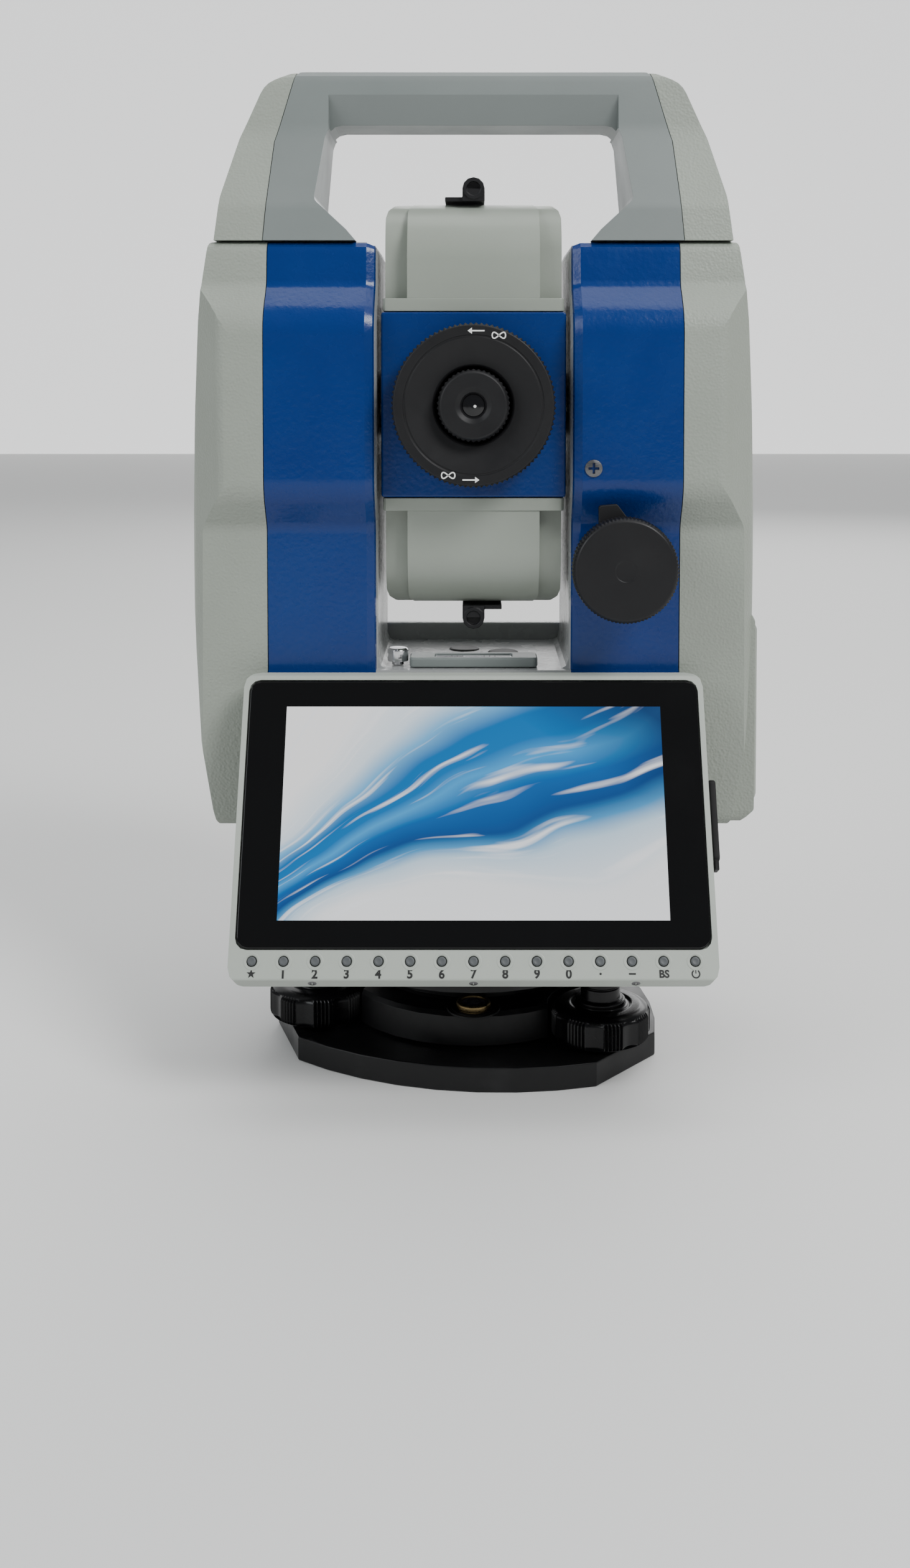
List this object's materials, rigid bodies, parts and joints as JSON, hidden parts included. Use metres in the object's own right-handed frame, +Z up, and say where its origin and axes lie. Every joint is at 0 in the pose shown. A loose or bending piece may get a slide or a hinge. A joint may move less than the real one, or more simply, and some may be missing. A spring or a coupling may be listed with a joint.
{
  "type": "surveying total station",
  "caption": "Electronic surveying total station: telescope in a forked alidade with a tilted touch display, carrying handle and a three-screw levelling tribrach.",
  "frame": {"origin": "on the plumb axis, at the underside of the tribrach base plate, which is within 2 mm of the middle of the part's underside box", "axes": "+Z up along the plumb axis; -Y towards the observer, the side of the display and the eyepiece; +X to the observer's right, the battery side"},
  "size_m": [0.2091, 0.1802, 0.365],
  "materials": {
    "blue_paint": "glossy orange-peel paint on cast aluminium",
    "cover_grey": "moulded plastic with a fine leather grain",
    "handle_grey": "satin painted plastic, cool grey",
    "bezel_grey": "satin painted plastic, warm pale grey",
    "black_plastic": "satin black plastic",
    "black_metal": "black anodised or painted cast aluminium",
    "black_rubber": "soft black rubber",
    "display_glass": "black cover glass, polished",
    "screen": "lit colour display",
    "key_grey": "grey keys",
    "steel": "machined steel",
    "chrome": "chromed steel",
    "level_glass": "level case with a tinted window",
    "optical_glass": "coated optical glass"
  },
  "bodies": {
    "base": {"base_plate": "black_metal"},
    "foot_screw_1": {"foot_screw_1": "black_plastic"},
    "foot_screw_2": {"foot_screw_2": "black_plastic"},
    "foot_screw_3": {"foot_screw_3": "black_plastic"},
    "tribrach": {"tribrach_body": "black_metal", "circular_level": "level_glass", "axis_flange": "steel", "horizontal_circle": "optical_glass"},
    "lock_knob": {"tribrach_lock_knob": "black_plastic"},
    "alidade": {"alidade_base": "blue_paint", "axis_spindle": "steel", "yoke_frame": "blue_paint", "side_cover_left": "cover_grey", "side_cover_right": "cover_grey", "handle_grip": "handle_grey", "handle_cheek_left": "cover_grey", "handle_cheek_right": "cover_grey", "plate_level": "level_glass", "bearing_left": "steel", "bearing_right": "steel", "display_bezel": "bezel_grey", "display_back": "black_plastic", "display_glass": "display_glass", "lcd_panel": "screen"},
    "level_capstan": {"capstan_screw": "chrome"},
    "telescope": {"telescope_body": "blue_paint", "telescope_cover_top": "cover_grey", "telescope_cover_bottom": "cover_grey", "sight_top": "black_plastic", "sight_bottom": "black_plastic", "trunnion_axle_left": "steel", "trunnion_axle_right": "steel", "vertical_circle": "optical_glass", "objective_barrel": "black_metal", "objective_lens": "optical_glass"},
    "focus": {"focus_ring": "black_plastic"},
    "focus_lens": {"focusing_lens": "optical_glass"},
    "eyepiece": {"eyepiece_ring": "black_plastic"},
    "vertical_tangent": {"vertical_tangent_knob": "black_plastic"},
    "vertical_clamp": {"vertical_clamp_lever": "black_plastic"},
    "horizontal_tangent": {"horizontal_tangent_knob": "black_plastic"},
    "horizontal_clamp": {"horizontal_clamp_lever": "black_plastic"},
    "battery": {"battery_pack": "cover_grey"},
    "latch": {"battery_latch": "black_plastic"},
    "port_flap": {"port_cover": "black_rubber"},
    "key_01": {"key_01": "key_grey"},
    "key_02": {"key_02": "key_grey"},
    "key_03": {"key_03": "key_grey"},
    "key_04": {"key_04": "key_grey"},
    "key_05": {"key_05": "key_grey"},
    "key_06": {"key_06": "key_grey"},
    "key_07": {"key_07": "key_grey"},
    "key_08": {"key_08": "key_grey"},
    "key_09": {"key_09": "key_grey"},
    "key_10": {"key_10": "key_grey"},
    "key_11": {"key_11": "key_grey"},
    "key_12": {"key_12": "key_grey"},
    "key_13": {"key_13": "key_grey"},
    "key_14": {"key_14": "key_grey"},
    "key_15": {"key_15": "key_grey"}
  },
  "joints": [
    {"name": "foot_screw_1_turn", "type": "hinge", "parent": "base", "child": "foot_screw_1", "pos_m": [-0.0588, -0.01967, 0.02], "axis": [0, 0, 1], "continuous": true},
    {"name": "foot_screw_2_turn", "type": "hinge", "parent": "base", "child": "foot_screw_2", "pos_m": [0.04643, -0.04108, 0.02], "axis": [0, 0, 1], "continuous": true},
    {"name": "foot_screw_3_turn", "type": "hinge", "parent": "base", "child": "foot_screw_3", "pos_m": [0.01236, 0.06076, 0.02], "axis": [0, 0, 1], "continuous": true},
    {"name": "levelling_tilt", "type": "hinge", "parent": "base", "child": "tribrach", "pos_m": [-0.00618, -0.03038, 0.006], "axis": [0.9799, -0.1994, 0], "range_deg": [-0.6, 0.6]},
    {"name": "lock_knob_turn", "type": "hinge", "parent": "tribrach", "child": "lock_knob", "pos_m": [-0.04494, 0.03976, 0.038], "axis": [-0.749, 0.6626, 0], "range_deg": [0, 90]},
    {"name": "alidade_turn", "type": "hinge", "parent": "tribrach", "child": "alidade", "pos_m": [0, 0, 0.05], "axis": [0, 0, 1], "continuous": true},
    {"name": "capstan_turn", "type": "hinge", "parent": "alidade", "child": "level_capstan", "pos_m": [-0.0281, -0.025, 0.146], "axis": [0, 0, 1], "continuous": true},
    {"name": "telescope_turn", "type": "hinge", "parent": "alidade", "child": "telescope", "pos_m": [0, 0, 0.2405], "axis": [1, 0, 0], "continuous": true},
    {"name": "focus_turn", "type": "hinge", "parent": "telescope", "child": "focus", "pos_m": [0, -0.046, 0.2405], "axis": [0, 1, 0], "range_deg": [-160, 160]},
    {"name": "focus_slide", "type": "slide", "parent": "telescope", "child": "focus_lens", "axis": [0, 1, 0], "range_m": [-0.009, 0.009]},
    {"name": "eyepiece_turn", "type": "hinge", "parent": "telescope", "child": "eyepiece", "pos_m": [0, -0.045, 0.2405], "axis": [0, 1, 0], "range_deg": [-120, 120]},
    {"name": "vertical_tangent_turn", "type": "hinge", "parent": "alidade", "child": "vertical_tangent", "pos_m": [0.0533, -0.05, 0.1828], "axis": [0, 1, 0], "continuous": true},
    {"name": "vertical_clamp_turn", "type": "hinge", "parent": "alidade", "child": "vertical_clamp", "pos_m": [0.0533, -0.0487, 0.1828], "axis": [0, 1, 0], "range_deg": [-30, 30]},
    {"name": "horizontal_tangent_turn", "type": "hinge", "parent": "alidade", "child": "horizontal_tangent", "pos_m": [0.08, 0, 0.0655], "axis": [1, 0, 0], "continuous": true},
    {"name": "horizontal_clamp_turn", "type": "hinge", "parent": "alidade", "child": "horizontal_clamp", "pos_m": [0.0765, 0, 0.0655], "axis": [1, 0, 0], "range_deg": [-30, 30]},
    {"name": "battery_slide", "type": "slide", "parent": "alidade", "child": "battery", "axis": [1, 0, 0], "range_m": [0, 0.04]},
    {"name": "latch_press", "type": "slide", "parent": "battery", "child": "latch", "axis": [-1, 0, 0], "range_m": [0, 0.0015], "stiffness_N_per_m": 800},
    {"name": "port_flap_turn", "type": "hinge", "parent": "alidade", "child": "port_flap", "pos_m": [0.0849, -0.05916, 0.09302], "axis": [0, 0.4411, 0.8975], "range_deg": [0, 100]},
    {"name": "key_01_press", "type": "slide", "parent": "alidade", "child": "key_01", "axis": [0, 0.8975, -0.4411], "range_m": [0, 0.0005], "stiffness_N_per_m": 1500},
    {"name": "key_02_press", "type": "slide", "parent": "alidade", "child": "key_02", "axis": [0, 0.8975, -0.4411], "range_m": [0, 0.0005], "stiffness_N_per_m": 1500},
    {"name": "key_03_press", "type": "slide", "parent": "alidade", "child": "key_03", "axis": [0, 0.8975, -0.4411], "range_m": [0, 0.0005], "stiffness_N_per_m": 1500},
    {"name": "key_04_press", "type": "slide", "parent": "alidade", "child": "key_04", "axis": [0, 0.8975, -0.4411], "range_m": [0, 0.0005], "stiffness_N_per_m": 1500},
    {"name": "key_05_press", "type": "slide", "parent": "alidade", "child": "key_05", "axis": [0, 0.8975, -0.4411], "range_m": [0, 0.0005], "stiffness_N_per_m": 1500},
    {"name": "key_06_press", "type": "slide", "parent": "alidade", "child": "key_06", "axis": [0, 0.8975, -0.4411], "range_m": [0, 0.0005], "stiffness_N_per_m": 1500},
    {"name": "key_07_press", "type": "slide", "parent": "alidade", "child": "key_07", "axis": [0, 0.8975, -0.4411], "range_m": [0, 0.0005], "stiffness_N_per_m": 1500},
    {"name": "key_08_press", "type": "slide", "parent": "alidade", "child": "key_08", "axis": [0, 0.8975, -0.4411], "range_m": [0, 0.0005], "stiffness_N_per_m": 1500},
    {"name": "key_09_press", "type": "slide", "parent": "alidade", "child": "key_09", "axis": [0, 0.8975, -0.4411], "range_m": [0, 0.0005], "stiffness_N_per_m": 1500},
    {"name": "key_10_press", "type": "slide", "parent": "alidade", "child": "key_10", "axis": [0, 0.8975, -0.4411], "range_m": [0, 0.0005], "stiffness_N_per_m": 1500},
    {"name": "key_11_press", "type": "slide", "parent": "alidade", "child": "key_11", "axis": [0, 0.8975, -0.4411], "range_m": [0, 0.0005], "stiffness_N_per_m": 1500},
    {"name": "key_12_press", "type": "slide", "parent": "alidade", "child": "key_12", "axis": [0, 0.8975, -0.4411], "range_m": [0, 0.0005], "stiffness_N_per_m": 1500},
    {"name": "key_13_press", "type": "slide", "parent": "alidade", "child": "key_13", "axis": [0, 0.8975, -0.4411], "range_m": [0, 0.0005], "stiffness_N_per_m": 1500},
    {"name": "key_14_press", "type": "slide", "parent": "alidade", "child": "key_14", "axis": [0, 0.8975, -0.4411], "range_m": [0, 0.0005], "stiffness_N_per_m": 1500},
    {"name": "key_15_press", "type": "slide", "parent": "alidade", "child": "key_15", "axis": [0, 0.8975, -0.4411], "range_m": [0, 0.0005], "stiffness_N_per_m": 1500}
  ],
  "couplings": [
    {"joint": "focus_slide", "follows": "focus_turn", "m_per_rad": 0.002865}
  ]
}
